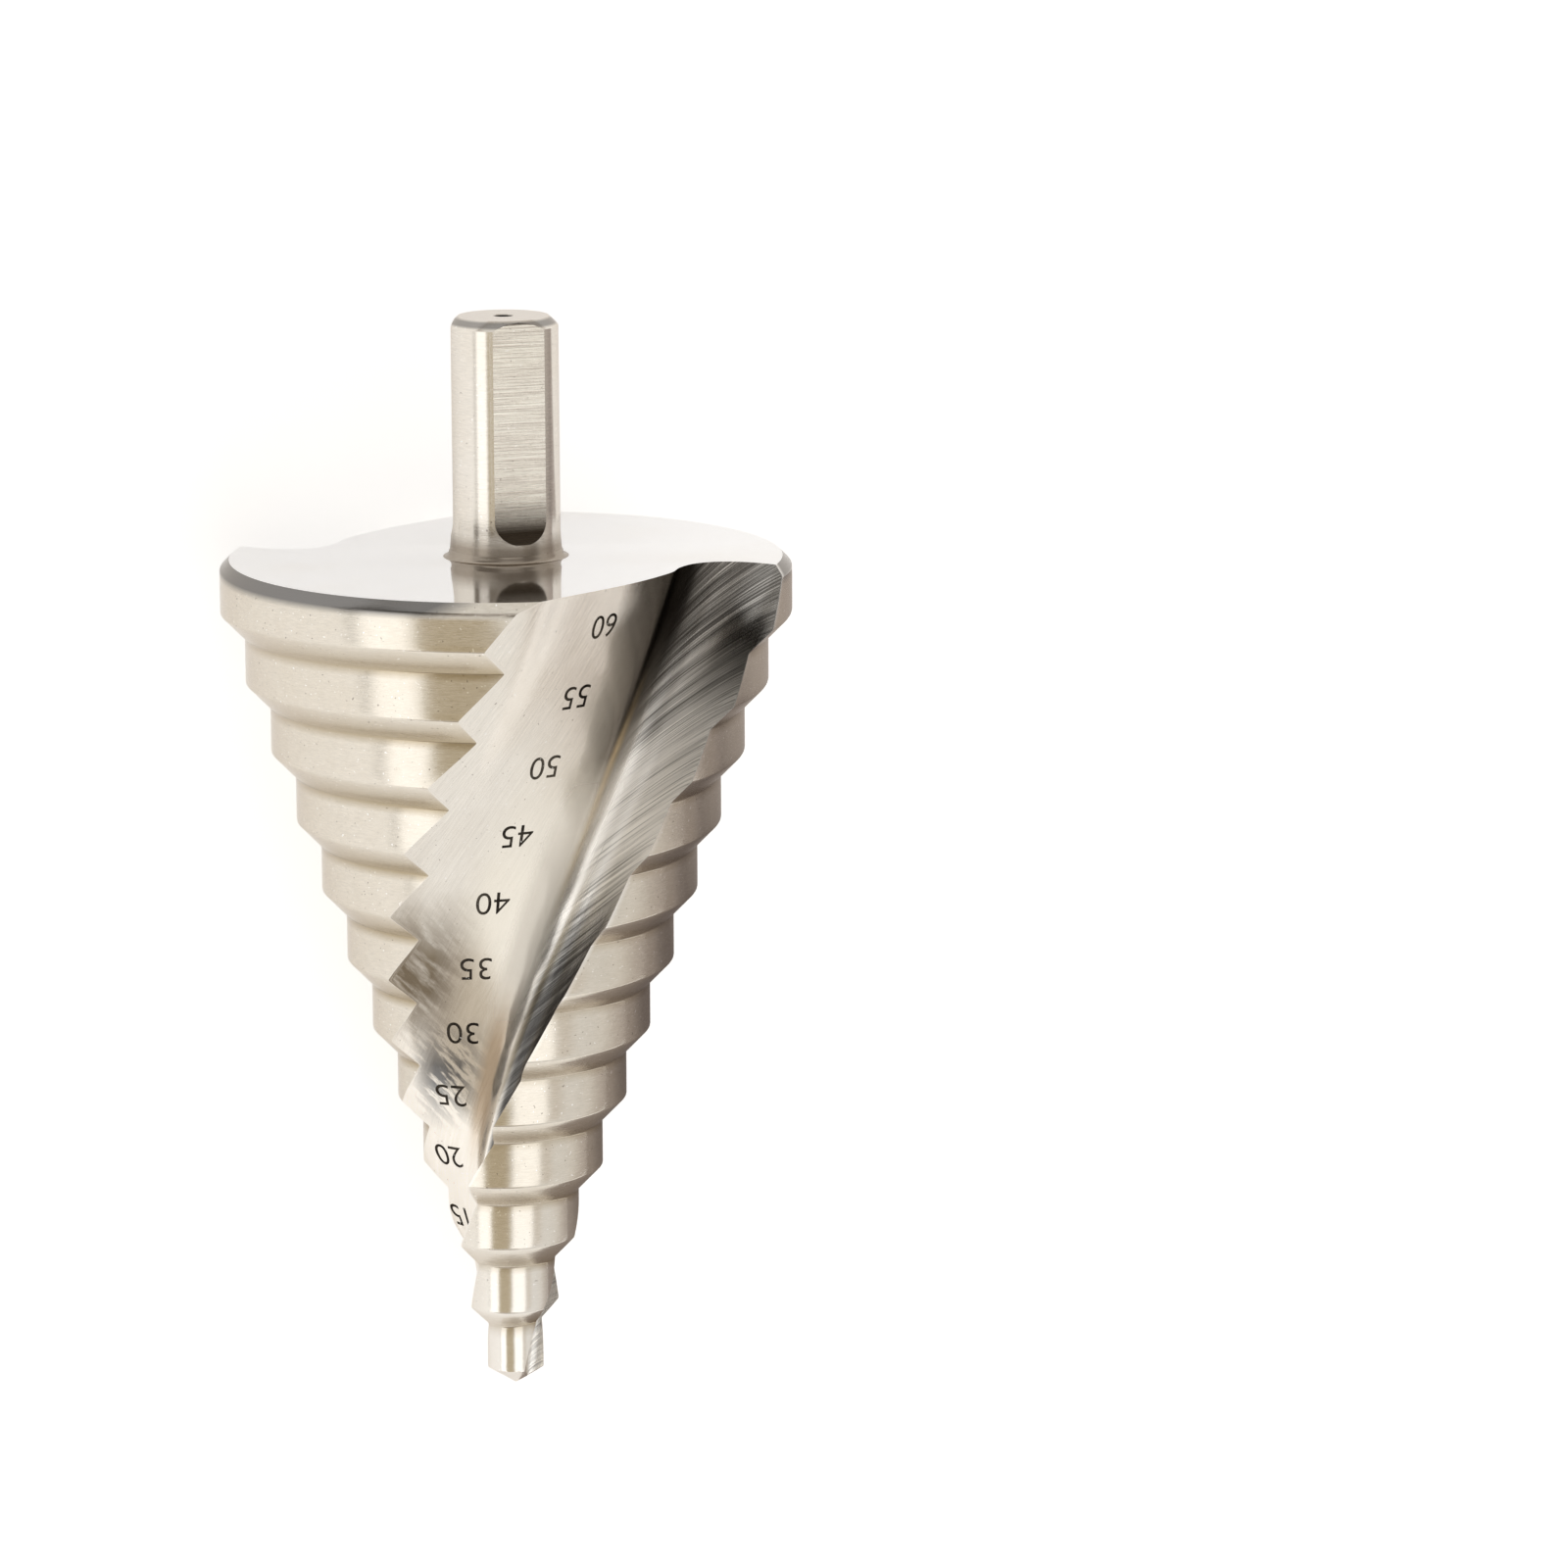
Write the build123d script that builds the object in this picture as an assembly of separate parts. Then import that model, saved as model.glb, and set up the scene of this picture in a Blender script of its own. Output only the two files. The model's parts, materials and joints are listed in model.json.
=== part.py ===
from build123d import *
import math
import os

# A large step drill bit: a pilot point, eleven growing steps, two helical flutes and a three-flat shank.
# Millimetres and degrees. The drill is built on its own axis, point down at the origin, shank along +Z,
# and is then laid down as it would come to rest on a level surface.

# Driving dimensions: diameters and levels along the axis, from the point up.
PILOT_DIAMETER = 6.0
FIRST_DIAMETER = 10.0
DIAMETER_GROWTH = 5.0
STEP_COUNT = 11
FIRST_SHOULDER = 7.9
STEP_PITCH = 7.5
TOP_STEP_HEIGHT = 7.3
SHOULDER_ANGLE = 45.0
POINT_ANGLE = 118.0
RIM_CHAMFER = 1.0

# Relief: how far the round of each land is shifted off the drill's axis, towards its cutting edge, and how
# far the cones of the shoulders and of the lips are tipped up behind their edges.
LAND_RELIEF = 0.33
PILOT_RELIEF = 0.1
SHOULDER_RELIEF_ANGLE = 2.2
LIP_RELIEF_ANGLE = 4.0

# How each land is made before the flutes are cut: where its turn starts beside the cutting edge, how much of
# a turn it takes, how far it runs into its neighbours, and the slim core that joins them all.
LAND_START = -46.0
LAND_TURN = 200.0
LAND_SINK = 2.0
CORE_SHARE = 0.3

# Shank.
SHANK_DIAMETER = 11.5
SHANK_LENGTH = 25.3
END_DIAMETER = 9.5
END_ROUND_LENGTH = 1.0
ROOT_FLARE = 0.25
ROOT_FLARE_LENGTH = 3.2
ROOT_CHAMFER = 0.6
FLAT_COUNT = 3
FLAT_DISTANCE = 5.02
FLAT_GAP = 1.6
FLAT_RUNOUT_RADIUS = 4.3
FLAT_AZIMUTH = -72.0
CENTRE_DIAMETER = 2.0
CENTRE_DEPTH = 3.0

# The azimuth of the side that is laid down: the middle of the far flute's wide face.
DOWN_AZIMUTH = 112.0

# Flutes. Stations up the body: the level as a fraction of the body's height, the azimuth of the cutting
# edge, the core as a fraction of the body's radius there, and how wide the flute opens beside the others.
FLUTE_COUNT = 2
FLUTE_STATIONS = (
    (-0.015, -196.0, 0.38, 1.02),
    (0.035, -179.0, 0.42, 0.98),
    (0.070, -166.0, 0.47, 0.94),
    (0.110, -154.0, 0.52, 0.92),
    (0.165, -141.5, 0.57, 0.92),
    (0.222, -128.5, 0.60, 0.94),
    (0.280, -114.0, 0.62, 0.95),
    (0.333, -101.5, 0.63, 0.95),
    (0.388, -90.8, 0.63, 0.95),
    (0.445, -81.2, 0.63, 0.95),
    (0.500, -73.0, 0.63, 0.96),
    (0.555, -65.2, 0.63, 0.98),
    (0.610, -58.2, 0.63, 1.00),
    (0.665, -51.7, 0.63, 1.00),
    (0.720, -45.2, 0.63, 1.00),
    (0.776, -39.0, 0.63, 1.00),
    (0.831, -33.0, 0.63, 1.00),
    (0.887, -27.2, 0.63, 1.01),
    (0.943, -21.9, 0.63, 1.03),
    (1.000, -17.2, 0.63, 1.06),
    (1.050, -13.4, 0.63, 1.09),
)

# One flute's section across the axis, for a body of radius 1 whose cutting edge is at (1, 0): the hooked
# rake face from outside to the valley, then the bulged face that carries the size marks, out to the heel.
CORE = 0.63
FLUTE_WALL = (
    (1.450, -0.170),
    (1.000, 0.000),
    (0.911, 0.040),
    (0.807, 0.060),
    (0.715, 0.040),
    (0.660, -0.010),
    (0.634, -0.090),
    (0.620, -0.262),
    (0.580, -0.406),
    (0.464, -0.700),
    (0.334, -0.943),
    (0.219, -1.099),
    (0.020, -1.430),
)

body_height = FIRST_SHOULDER + STEP_PITCH * (STEP_COUNT - 1) + TOP_STEP_HEIGHT
total_height = body_height + SHANK_LENGTH
shank_radius = SHANK_DIAMETER / 2
pilot_radius = PILOT_DIAMETER / 2
shoulder_slope = math.tan(math.radians(SHOULDER_ANGLE))
taper = DIAMETER_GROWTH / 2 / STEP_PITCH


def step_radius(step):
    """Radius of a step at its cutting edge; step 0 is the pilot."""
    if step == 0:
        return pilot_radius
    return (FIRST_DIAMETER + DIAMETER_GROWTH * (step - 1)) / 2


def shoulder(step):
    """Lower and upper level of the shoulder under a step."""
    middle = FIRST_SHOULDER + STEP_PITCH * (step - 1)
    half = (step_radius(step) - step_radius(step - 1)) / shoulder_slope / 2
    return middle - half, middle + half


def mean_radius(height):
    """Radius of the smooth cone that runs through the middle of every step."""
    along = FIRST_DIAMETER / 2 + (height - FIRST_SHOULDER - STEP_PITCH / 2) * taper
    return max(along, pilot_radius)


def edge_azimuth(height):
    """Azimuth of the first cutting edge at a level, read between the flute stations."""
    here = height / body_height
    for (low, a, *_), (high, b, *_) in zip(FLUTE_STATIONS, FLUTE_STATIONS[1:]):
        if low <= here <= high:
            return a + (b - a) * (here - low) / (high - low)
    raise ValueError(height)


def outline_of(points):
    """A flat face in the XZ plane, from its (radius, height) corners."""
    return make_face(Plane.XZ * Polyline(*points, close=True))


# The lands. Each step is turned about an axis that is shifted towards its own cutting edge, so its round
# falls away behind the edge, and the cone of its shoulder is tipped up behind the edge in the same way.
# A land takes more than its share of a turn, so its ends lie in a flute, where they are cut away.
lands = []
for step in range(STEP_COUNT + 1):
    radius = step_radius(step)
    relief = PILOT_RELIEF if step == 0 else LAND_RELIEF
    reach = radius - relief
    low, high = shoulder(step) if step else (0, 0)
    top = body_height if step == STEP_COUNT else shoulder(step + 1)[0] + LAND_SINK
    bottom = low - LAND_SINK if step else 0
    points = [(0, bottom), (reach, bottom), (reach, top), (0, top)]
    if step == STEP_COUNT:
        points[2:3] = [(reach, top - RIM_CHAMFER), (reach - RIM_CHAMFER, top)]
    land = Rot(0, 0, LAND_START) * revolve(outline_of(points), Axis.Z, LAND_TURN)
    if step:
        foot, crown = low - LAND_SINK, top + LAND_SINK
        foot_reach = reach - (high - foot) * shoulder_slope
        crown_reach = reach + (crown - high) * shoulder_slope
        cone_points = [(0, foot), (foot_reach, foot), (crown_reach, crown), (0, crown)]
        middle = (low + high) / 2
        tipped = Pos(0, 0, middle) * Rot(SHOULDER_RELIEF_ANGLE, 0, 0) * Pos(0, 0, -middle)
        land = land & tipped * revolve(outline_of(cone_points), Axis.Z)
    land = Rot(0, 0, edge_azimuth((high + top) / 2)) * Pos(relief, 0, 0) * land
    lands += [Rot(0, 0, 360.0 / FLUTE_COUNT * i) * land for i in range(FLUTE_COUNT)]
core_foot, core_crown = CORE_SHARE * pilot_radius, CORE_SHARE * step_radius(STEP_COUNT)
core_points = [(0, 0), (core_foot, 0), (core_crown, body_height), (0, body_height)]
body = revolve(outline_of(core_points), Axis.Z).fuse(*lands)


def flute_row(fraction, azimuth, core_ratio, spread):
    """The points of one section of the flute wall, turned and scaled to its level."""
    height = fraction * body_height
    scale = mean_radius(height)
    turn = math.radians(azimuth)
    row = []
    for x, y in FLUTE_WALL:
        reach = math.hypot(x, y)
        if reach < 1:
            deeper = core_ratio + (reach - CORE) * (1 - core_ratio) / (1 - CORE)
            x, y = x * deeper / reach, y * deeper / reach
        if y < 0 and x < 1:
            reach, aside = math.hypot(x, y), math.atan2(y, x) * spread
            x, y = reach * math.cos(aside), reach * math.sin(aside)
        out = scale * (x * math.cos(turn) - y * math.sin(turn))
        side = scale * (x * math.sin(turn) + y * math.cos(turn))
        row.append((out, side, height))
    return row


wall = Face.make_surface_from_array_of_points([flute_row(*station) for station in FLUTE_STATIONS], min_deg=3)
for i in range(FLUTE_COUNT):
    pieces = split(body, Rot(0, 0, 360.0 / FLUTE_COUNT * i) * wall, Keep.ALL).solids()
    body = pieces.sort_by(SortBy.VOLUME)[-1]

# The point: two half cones that share the lips and fall away behind them.
cone_height = 2 * total_height
cone_radius = cone_height * math.tan(math.radians(POINT_ANGLE / 2))
cone = revolve(outline_of([(0, 0), (cone_radius, cone_height), (0, cone_height)]), Axis.Z)
half_cone = split(Rot(LIP_RELIEF_ANGLE, 0, 0) * cone, Plane.XZ, Keep.BOTTOM)
half_cone = Rot(0, 0, edge_azimuth(0)) * half_cone
body = body.intersect(half_cone.fuse(Rot(0, 0, 180) * half_cone))[0]

# The shank, flared a little at its root, with its flats and its centre hole. Its far end is rounded off by a
# ball on the drill's axis, so that a flat meets it in a plain arc.
root_radius = shank_radius + ROOT_FLARE
end_radius = END_DIAMETER / 2
seat = root_radius + 2 * ROOT_CHAMFER
round_foot = total_height - END_ROUND_LENGTH
ball_drop = (shank_radius**2 - end_radius**2 - END_ROUND_LENGTH**2) / (2 * END_ROUND_LENGTH)
ball_radius = math.hypot(shank_radius, ball_drop)
halfway = (math.atan2(ball_drop, shank_radius) + math.atan2(ball_drop + END_ROUND_LENGTH, end_radius)) / 2
end_round = ThreePointArc(
    (shank_radius, 0, round_foot),
    (ball_radius * math.cos(halfway), 0, round_foot - ball_drop + ball_radius * math.sin(halfway)),
    (end_radius, 0, total_height),
)
shank_sides = Polyline(
    (end_radius, 0, total_height),
    (0, 0, total_height),
    (0, 0, body_height - RIM_CHAMFER),
    (seat, 0, body_height - RIM_CHAMFER),
    (seat, 0, body_height),
    (root_radius, 0, body_height),
    (shank_radius, 0, body_height + ROOT_FLARE_LENGTH),
    (shank_radius, 0, round_foot),
)
shank_outline = make_face([end_round, *shank_sides.edges()])
root_corner = shank_outline.vertices().sort_by_distance(Vector(root_radius, 0, body_height))[0]
shank = revolve(chamfer(root_corner, ROOT_CHAMFER), Axis.Z)

sweep = math.acos(1 - (root_radius - FLAT_DISTANCE) / FLAT_RUNOUT_RADIUS)
rise = FLAT_RUNOUT_RADIUS * math.sin(sweep)


def runout(turn):
    """A point of the round at the foot of a flat, which leaves the flat at turn 0."""
    out = FLAT_DISTANCE + FLAT_RUNOUT_RADIUS * (1 - math.cos(turn))
    return out, 0, body_height + FLAT_GAP + rise - FLAT_RUNOUT_RADIUS * math.sin(turn)


above = total_height + END_ROUND_LENGTH
foot_round = ThreePointArc(runout(0), runout(sweep / 2), runout(sweep))
flat_sides = Polyline(runout(sweep), (root_radius, 0, above), (FLAT_DISTANCE, 0, above), runout(0))
flat_cut = extrude(make_face([foot_round, *flat_sides.edges()]), root_radius, both=True)
flats = [Rot(0, 0, FLAT_AZIMUTH + 360.0 / FLAT_COUNT * i) * flat_cut for i in range(FLAT_COUNT)]
centre_radius, centre_floor = CENTRE_DIAMETER / 2, total_height - CENTRE_DEPTH
centre_points = [(0, above), (centre_radius, above), (centre_radius, centre_floor), (0, centre_floor)]
shank = shank.cut(*flats, revolve(outline_of(centre_points), Axis.Z))
drill = body.fuse(shank)


def resting_up(shape, down):
    """The direction in the shape's own frame that points up once the shape has come to rest. It is laid with
    one azimuth down, and tips about the one or two points it touches, towards its centre of mass, until
    three contacts surround that centre."""
    points = [edge.position_at(i / 24) for edge in shape.edges() for i in range(25)]
    centre = shape.center()
    up = Vector(-math.cos(math.radians(down)), -math.sin(math.radians(down)), 0)
    held = [min(points, key=up.dot)]
    for _ in range(300):
        pivot = held[0]
        lean = centre - pivot
        if len(held) == 2:
            side = up.cross(held[1] - pivot)
            lean = side if side.dot(lean) > 0 else -side
        lean = (lean - up * up.dot(lean)).normalized()

        def fall(point):
            away = lean.dot(point - pivot)
            return math.atan2(up.dot(point - pivot), away) if away > 0.01 else math.pi

        touching = min(points, key=fall)
        angle = fall(touching)
        up = up * math.cos(angle) - lean * math.sin(angle)
        held.append(touching)
        if len(held) == 3:
            for third in held:
                first, second = [point for point in held if point is not third]
                across = up.cross(second - first)
                if across.dot(third - first) * across.dot(centre - first) < 0:
                    held = [first, second]
                    break
            else:
                break
    return up


# Laid down: up is +Z, and the shank points along +Y. The origin is the bottom centre of the whole drill.
up = resting_up(drill, DOWN_AZIMUTH)
resting = Plane((0, 0, 0), x_dir=Vector(0, 0, 1).cross(up), z_dir=up)
drill = resting.location.inverse() * drill
box = drill.bounding_box()
drill = Pos(-box.center().X, -box.center().Y, -box.min.Z) * drill
drill.label = "step_drill"

os.makedirs("parts", exist_ok=True)
export_step(drill, "parts/step_drill.step")
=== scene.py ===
# %% [markdown]
# # A large step drill bit
# One bar of high-speed steel, ground into twelve growing steps, with two helical flutes cut up its whole
# length and a shank with three flats. It lies on its side, as it comes to rest on a bench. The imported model
# gives the place and the size. What is made here is the ground steel skin that a camera sees: every corner
# has its small radius, and every surface knows which way its grinding marks run.

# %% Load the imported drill
import json
import math

import bmesh
import bpy
import numpy as np
from mathutils import Matrix, Vector
from mathutils.geometry import tessellate_polygon


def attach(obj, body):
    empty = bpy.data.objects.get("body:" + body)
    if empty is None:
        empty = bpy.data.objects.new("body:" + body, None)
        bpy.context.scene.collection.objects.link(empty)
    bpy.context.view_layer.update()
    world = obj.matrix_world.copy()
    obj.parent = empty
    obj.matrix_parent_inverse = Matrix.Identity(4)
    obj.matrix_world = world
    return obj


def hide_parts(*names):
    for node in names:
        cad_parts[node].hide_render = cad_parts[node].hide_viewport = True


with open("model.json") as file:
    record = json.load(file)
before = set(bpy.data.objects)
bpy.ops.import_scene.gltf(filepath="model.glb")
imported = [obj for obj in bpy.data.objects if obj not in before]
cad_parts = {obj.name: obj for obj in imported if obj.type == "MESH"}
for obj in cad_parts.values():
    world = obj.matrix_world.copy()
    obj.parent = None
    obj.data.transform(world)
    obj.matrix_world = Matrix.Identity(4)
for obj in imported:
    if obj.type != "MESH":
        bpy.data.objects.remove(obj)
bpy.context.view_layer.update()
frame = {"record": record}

# %% [markdown]
# ## The drill's own axes
# A drill is easiest to describe standing on its point, with its axis upright. Its mounts say where that axis
# is now: one sits at the shank's end and points along it, and the first flat faces a known azimuth. Points
# are worked out in millimetres on the drill's own axis, and `place` carries them to where the drill lies.

# %% Read the drill's axes from its mounts
# Lengths on the drill are in millimetres, and azimuths around it in degrees.
BODY_HEIGHT = 90.2
SHANK_LENGTH = 25.3
FLAT_AZIMUTH = -72.0

mounts = {mount["name"]: mount for mount in frame["record"]["mounts"]}
shank_end = np.array(mounts["shank"]["pos_m"])
along = np.array(mounts["shank"]["axis"])
along /= np.linalg.norm(along)
flat_way = np.array(mounts["shank_flat_a"]["axis"])
flat_way /= np.linalg.norm(flat_way)
flat_side = np.cross(along, flat_way)
turn = math.radians(FLAT_AZIMUTH)
across = flat_way * math.cos(turn) - flat_side * math.sin(turn)
beside = flat_way * math.sin(turn) + flat_side * math.cos(turn)
drill_axes = np.stack([across, beside, along])
drill_tip = shank_end - along * (BODY_HEIGHT + SHANK_LENGTH) / 1000


def place(points):
    """Millimetres on the drill's own axes to metres where it lies: the tip, plus x, y and z times the three
    axes."""
    return drill_tip + np.asarray(points) / 1000 @ drill_axes


print("tip at", drill_tip.round(4), "axis rises", round(math.degrees(math.asin(along[2])), 2), "degrees")

# %% [markdown]
# ## Steps, shoulders and their relief
# Each step is a short cylinder and a 45 degree shoulder. A real cutter is relieved: behind its cutting edge
# every round falls away a little, or it would rub instead of cut. So each land is a circle whose centre is
# shifted towards the cutting edge, and each shoulder's cone is tipped up behind it.

# %% Sizes of the steps
STEP_COUNT = 11
STEP_PITCH = 7.5
FIRST_SHOULDER = 7.9
PILOT_RADIUS, FIRST_RADIUS, RADIUS_STEP = 3.0, 5.0, 2.5
PILOT_RELIEF, STEP_RELIEF = 0.10, 0.33
SHOULDER_TIP = 2.2
RIM_CHAMFER = 1.0
LAND_REACH = 2.0
radii = np.concatenate([[PILOT_RADIUS], FIRST_RADIUS + RADIUS_STEP * np.arange(STEP_COUNT)])
middles = FIRST_SHOULDER + STEP_PITCH * np.arange(STEP_COUNT)
halves = np.diff(radii) / 2
relief = np.concatenate([[PILOT_RELIEF], np.full(STEP_COUNT, STEP_RELIEF)])
tip_up = math.tan(math.radians(SHOULDER_TIP))

# Level as a share of the body's height, azimuth of the cutting edge, core and spread of the flute.
stations = np.array([
    (-0.015, -196.0, 0.38, 1.02), (0.035, -179.0, 0.42, 0.98), (0.070, -166.0, 0.47, 0.94),
    (0.110, -154.0, 0.52, 0.92), (0.165, -141.5, 0.57, 0.92), (0.222, -128.5, 0.60, 0.94),
    (0.280, -114.0, 0.62, 0.95), (0.333, -101.5, 0.63, 0.95), (0.388, -90.8, 0.63, 0.95),
    (0.445, -81.2, 0.63, 0.95), (0.500, -73.0, 0.63, 0.96), (0.555, -65.2, 0.63, 0.98),
    (0.610, -58.2, 0.63, 1.00), (0.665, -51.7, 0.63, 1.00), (0.720, -45.2, 0.63, 1.00),
    (0.776, -39.0, 0.63, 1.00), (0.831, -33.0, 0.63, 1.00), (0.887, -27.2, 0.63, 1.01),
    (0.943, -21.9, 0.63, 1.03), (1.000, -17.2, 0.63, 1.06), (1.050, -13.4, 0.63, 1.09)])
station_levels = stations[:, 0] * BODY_HEIGHT
land_top = np.append(middles - halves + LAND_REACH, BODY_HEIGHT)
land_foot = np.concatenate([[0.0], middles + halves])
edge_at_land = np.radians(np.interp((land_foot + land_top) / 2, station_levels, stations[:, 1]))
print("radii of the lands:", radii)


def land_radius(step, azimuth):
    """Distance from the axis of a circle whose centre is shifted by the relief towards the cutting edge."""
    behind = azimuth - edge_at_land[step]
    shift, reach = relief[step], radii[step] - relief[step]
    return shift * np.cos(behind) + np.sqrt(reach ** 2 - (shift * np.sin(behind)) ** 2)


def shoulder_level(step, radius, azimuth):
    """Level of a 45 degree cone at a radius, raised behind the cutting edge by its tip."""
    behind = azimuth - edge_at_land[step]
    own = radius - relief[step] * np.cos(behind)
    crown = middles[step - 1] + halves[step - 1]
    return crown - (radii[step] - relief[step] - own) + own * np.sin(behind) * tip_up


def corners(azimuth):
    """The corners of the stepped outline, as (radius, level), from the tip to the rim, at each azimuth."""
    points = [(land_radius(0, azimuth), np.zeros_like(azimuth))]
    for step in range(1, STEP_COUNT + 1):
        low = land_radius(step - 1, azimuth)
        high = land_radius(step, azimuth)
        points.append((low, shoulder_level(step, low, azimuth)))
        points.append((high, shoulder_level(step, high, azimuth)))
    rim = land_radius(STEP_COUNT, azimuth)
    points.append((rim, np.full_like(azimuth, BODY_HEIGHT - RIM_CHAMFER)))
    points.append((rim - RIM_CHAMFER, np.full_like(azimuth, BODY_HEIGHT)))
    return np.array([np.stack(point, axis=-1) for point in points])


# %% [markdown]
# The rows of the skin follow those corners. A row is a fixed blend of neighbouring corners, so one small
# table turns the corners at any azimuth into all the rows there. Three close rows round each corner, and
# the rows stand closest on the drill's point, whose cone is cut into the pilot's lowest part.

# %% Rows of the skin, from the tip to the rim
CORNER_ROUND = 0.16
ROW_STEP = 0.75
POINT_SHARE, POINT_ROWS, PILOT_ROWS = 0.34, 30, 8
corner_count = 2 * STEP_COUNT + 3
segment_lengths = np.empty(corner_count - 1)
segment_lengths[0] = middles[0] - halves[0]
segment_lengths[1::2][:STEP_COUNT] = 2 * halves * math.sqrt(2)
segment_lengths[2::2][:STEP_COUNT - 1] = STEP_PITCH - halves[1:] - halves[:-1]
segment_lengths[2 * STEP_COUNT] = BODY_HEIGHT - RIM_CHAMFER - middles[-1] - halves[-1]
segment_lengths[2 * STEP_COUNT + 1] = RIM_CHAMFER * math.sqrt(2)


def blend_row(spot):
    """One row's weights for the corners: a spot of 3.25 lies a quarter of the way from corner 3 to 4."""
    weights = np.zeros(corner_count)
    low = min(int(spot), corner_count - 2)
    weights[low], weights[low + 1] = 1 - (spot - low), spot - low
    return weights


rows = []
for segment, length in enumerate(segment_lengths):
    at_rim = segment == corner_count - 2
    cut = CORNER_ROUND / length
    last = 1.0 if at_rim else 1 - cut
    if segment == 0:
        point_shares = np.linspace(0, POINT_SHARE, POINT_ROWS)[:-1]
        shares = np.concatenate([point_shares, np.linspace(POINT_SHARE, last, PILOT_ROWS)])
    else:
        shares = np.linspace(cut, last, max(2, int(length / ROW_STEP)) + 1)
    rows.extend(blend_row(segment + share) for share in shares)
    if not at_rim:
        turn_at, after = segment + 1, CORNER_ROUND / segment_lengths[segment + 1]
        rows.append(blend_row(turn_at - cut) / 4 + blend_row(turn_at) / 2 + blend_row(turn_at + after) / 4)
row_blend = np.array(rows)
row_spot = row_blend @ np.arange(corner_count)
print("rows:", len(row_blend))

# %% [markdown]
# ## The flutes
# One flute is the same section all the way up, scaled to the cone and turned along the helix: a hooked rake
# face below the cutting edge, a valley, then a wide bulged face that carries the size marks. The section is
# drawn once for a body of radius 1, and a smooth curve is run through its points and through the levels.

# %% The flute's section and its helix
CORE = 0.63
section = np.array([
    (1.450, -0.170), (1.200, -0.070), (1.000, 0.000), (0.911, 0.040), (0.807, 0.060), (0.715, 0.040),
    (0.660, -0.010), (0.634, -0.090), (0.637, -0.170), (0.620, -0.262), (0.580, -0.406), (0.533, -0.533),
    (0.464, -0.700), (0.421, -0.818), (0.334, -0.943), (0.219, -1.099), (0.020, -1.430)])
section_run = np.concatenate([[0], np.cumsum(np.linalg.norm(np.diff(section, axis=0), axis=1))])


def smooth(x, knots, values):
    """A cubic through each knot's value, whose slope there is that of its neighbours: Hermite blending."""
    slopes = np.gradient(values, knots, axis=0)
    i = np.clip(np.searchsorted(knots, x) - 1, 0, len(knots) - 2)
    h = knots[i + 1] - knots[i]
    t = (x - knots[i]) / h
    a, b, c, d = 2 * t**3 - 3 * t**2 + 1, (t**3 - 2 * t**2 + t) * h, 3 * t**2 - 2 * t**3, (t**3 - t**2) * h
    if values.ndim > 1:
        a, b, c, d = (part[..., None] for part in (a, b, c, d))
    return a * values[i] + b * slopes[i] + c * values[i + 1] + d * slopes[i + 1]


def flute_point(level, run):
    """A point of the flute's wall: the section's curve at a run along it, deepened to the core, spread,
    scaled to the cone's radius at that level and turned to the cutting edge's azimuth."""
    azimuth, core, spread = np.moveaxis(smooth(level, station_levels, stations[:, 1:]), -1, 0)
    x, y = np.moveaxis(smooth(run, section_run, section), -1, 0)
    reach = np.hypot(x, y)
    deeper = np.where(reach < 1, core + (reach - CORE) * (1 - core) / (1 - CORE), reach)
    aside = np.arctan2(y, x) * np.where((y < 0) & (x < 1), spread, 1.0)
    steps_up = (level - FIRST_SHOULDER - STEP_PITCH / 2) / STEP_PITCH
    scale = np.maximum(FIRST_RADIUS + steps_up * RADIUS_STEP, PILOT_RADIUS)
    turned = aside + np.radians(azimuth)
    return deeper * scale * np.cos(turned), deeper * scale * np.sin(turned)


print("section's length:", section_run[-1].round(3), "radii")

# %% [markdown]
# A land ends where it meets a flute's wall, at its cutting edge in front and at its heel behind. Blender could
# cut the flutes with a boolean, but that leaves ragged faces, and nothing that says which way the marks run. So
# both meetings are worked out for every row, and the skin's points are laid exactly on them.

# %% Cutting edges and heels
RUN_SAMPLES = 400
LEVEL_MENDS = 8
START_LEVEL = 45.0
HEEL_BEHIND = 0.7


def crossing(run_low, run_high, half_turn):
    """Where each row's land meets the flute's wall. The wall is sampled along its section, the sample where
    its radius passes the land's is found, and the level is mended a few times, since a land is tilted."""
    runs = np.linspace(run_low, run_high, RUN_SAMPLES)
    row_index = np.arange(len(row_blend))
    azimuth = np.radians(smooth(np.full(len(row_blend), START_LEVEL), station_levels, stations[:, 1]))
    for _ in range(LEVEL_MENDS):
        corner = corners(azimuth + half_turn)
        radius, level = np.moveaxis(np.einsum("rk,krx->rx", row_blend, corner), -1, 0)
        x, y = flute_point(level[:, None] + 0 * runs, runs + 0 * level[:, None])
        gap = np.hypot(x, y) - radius[:, None]
        inside = gap[:, 0] < 0
        after = np.argmax((gap < 0) != inside[:, None], axis=1)
        before = after - 1
        part = gap[row_index, before] / (gap[row_index, before] - gap[row_index, after])
        run = runs[before] + part * (runs[after] - runs[before])
        x, y = flute_point(level, run)
        wrapped = np.arctan2(y, x)
        guess = np.radians(smooth(level, station_levels, stations[:, 1])) - (HEEL_BEHIND if half_turn else 0.0)
        azimuth = wrapped + 2 * math.pi * np.round((guess - wrapped) / (2 * math.pi))
    return run, azimuth, level


edge_run, edge_azimuth, edge_level = crossing(section_run[0], section_run[4], 0.0)
heel_run, heel_azimuth, heel_level = crossing(section_run[11], section_run[-1], math.pi)
print("cutting edge turns", np.degrees(edge_azimuth[-1] - edge_azimuth[0]).round(1), "degrees up the body")

# %% [markdown]
# ## The skin of the body
# The lands and the flutes make one closed ring of points on each row: along a land from its cutting edge to
# its heel, then down the next flute's wall to the next cutting edge. The point of the drill is the same ring,
# held inside a cone.

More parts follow.
